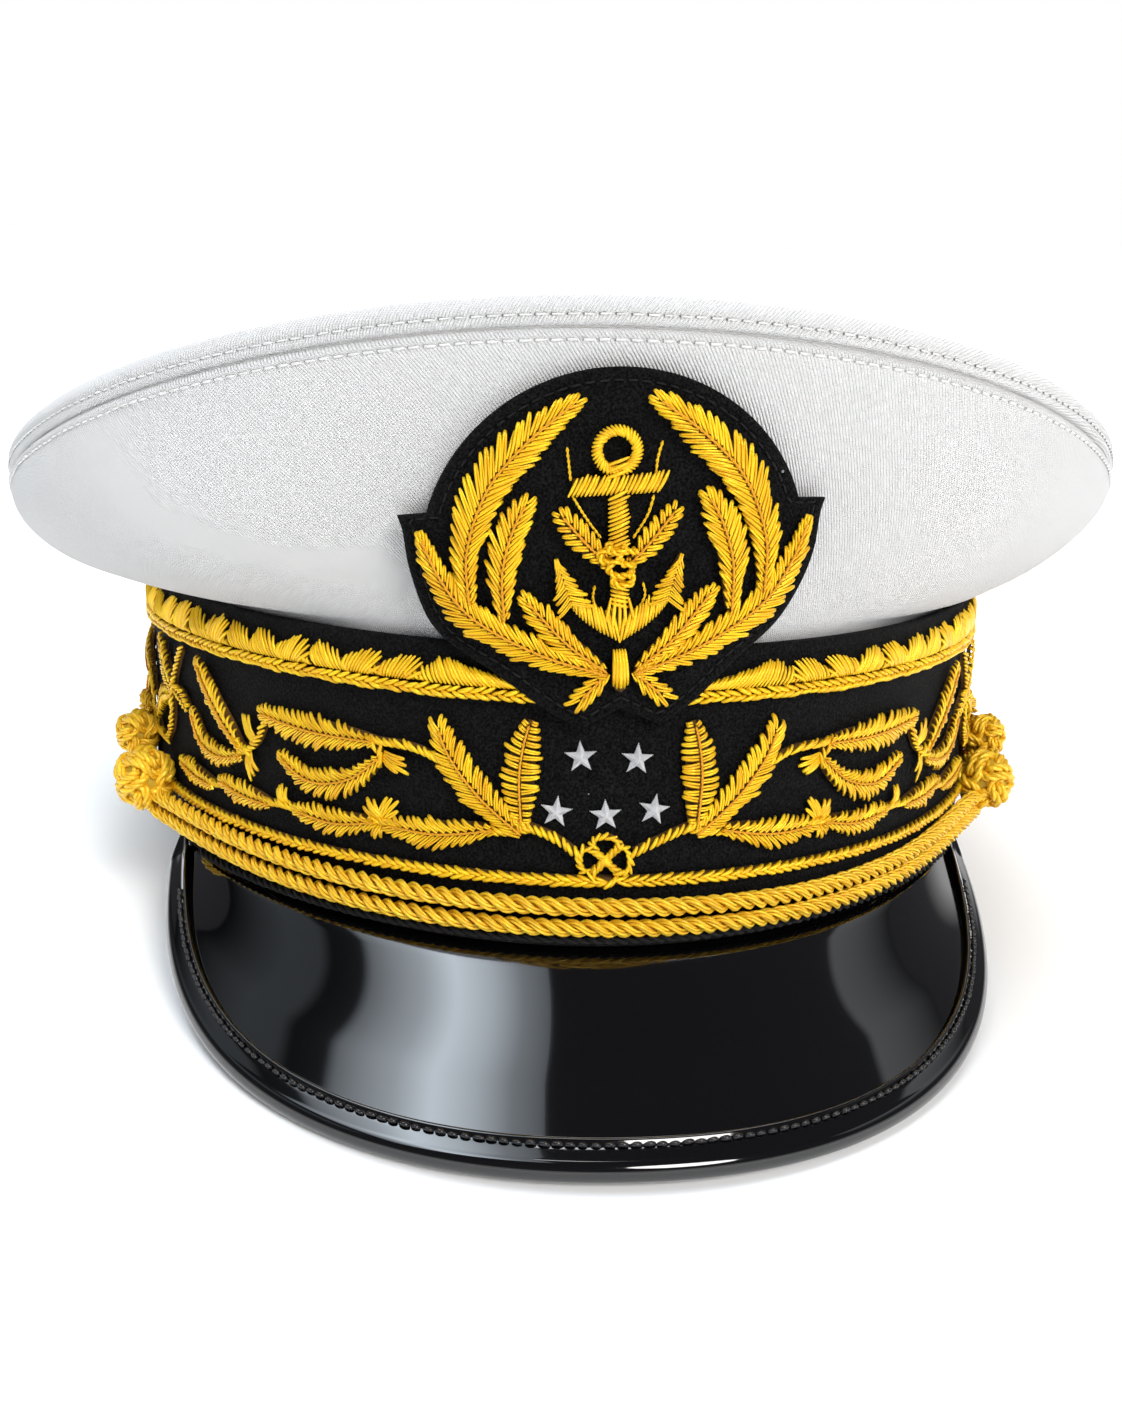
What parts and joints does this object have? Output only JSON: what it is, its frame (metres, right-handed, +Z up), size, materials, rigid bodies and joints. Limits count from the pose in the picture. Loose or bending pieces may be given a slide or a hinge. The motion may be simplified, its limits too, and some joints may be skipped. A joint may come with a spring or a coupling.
{
  "type": "officer cap",
  "caption": "Peaked uniform cap with a white cover, embroidered black band and badge, gold chin cord and patent peak.",
  "frame": {"origin": "middle of the cap's foot, on the surface it rests on", "axes": "+Z up, -Y towards the front of the cap and its peak, +X to the right as seen from the front"},
  "size_m": [0.2268, 0.2824, 0.121],
  "materials": {
    "white_cloth": "matt white twill",
    "black_cloth": "matt black wool cloth",
    "patent_leather": "gloss black patent",
    "gold_thread": "satin gold bullion thread",
    "silver_thread": "satin silver thread",
    "gilt_metal": "polished gilt"
  },
  "bodies": {
    "root": {"crown_top": "white_cloth", "crown_side": "white_cloth", "band": "black_cloth", "peak": "patent_leather", "peak_binding": "patent_leather", "badge_backing": "black_cloth", "wreath_tie": "gold_thread", "anchor": "gold_thread", "lower_braid": "gold_thread", "star_1": "silver_thread", "star_2": "silver_thread", "star_3": "silver_thread", "star_4": "silver_thread", "star_5": "silver_thread", "cord_upper": "gold_thread", "cord_lower": "gold_thread", "wreath_left": "gold_thread", "border_left": "gold_thread", "spray_left": "gold_thread", "side_spray_left": "gold_thread", "cord_knot_left": "gold_thread", "cord_loop_left": "gold_thread", "button_left": "gilt_metal", "wreath_right": "gold_thread", "border_right": "gold_thread", "spray_right": "gold_thread", "side_spray_right": "gold_thread", "cord_knot_right": "gold_thread", "cord_loop_right": "gold_thread", "button_right": "gilt_metal"}
  },
  "joints": []
}
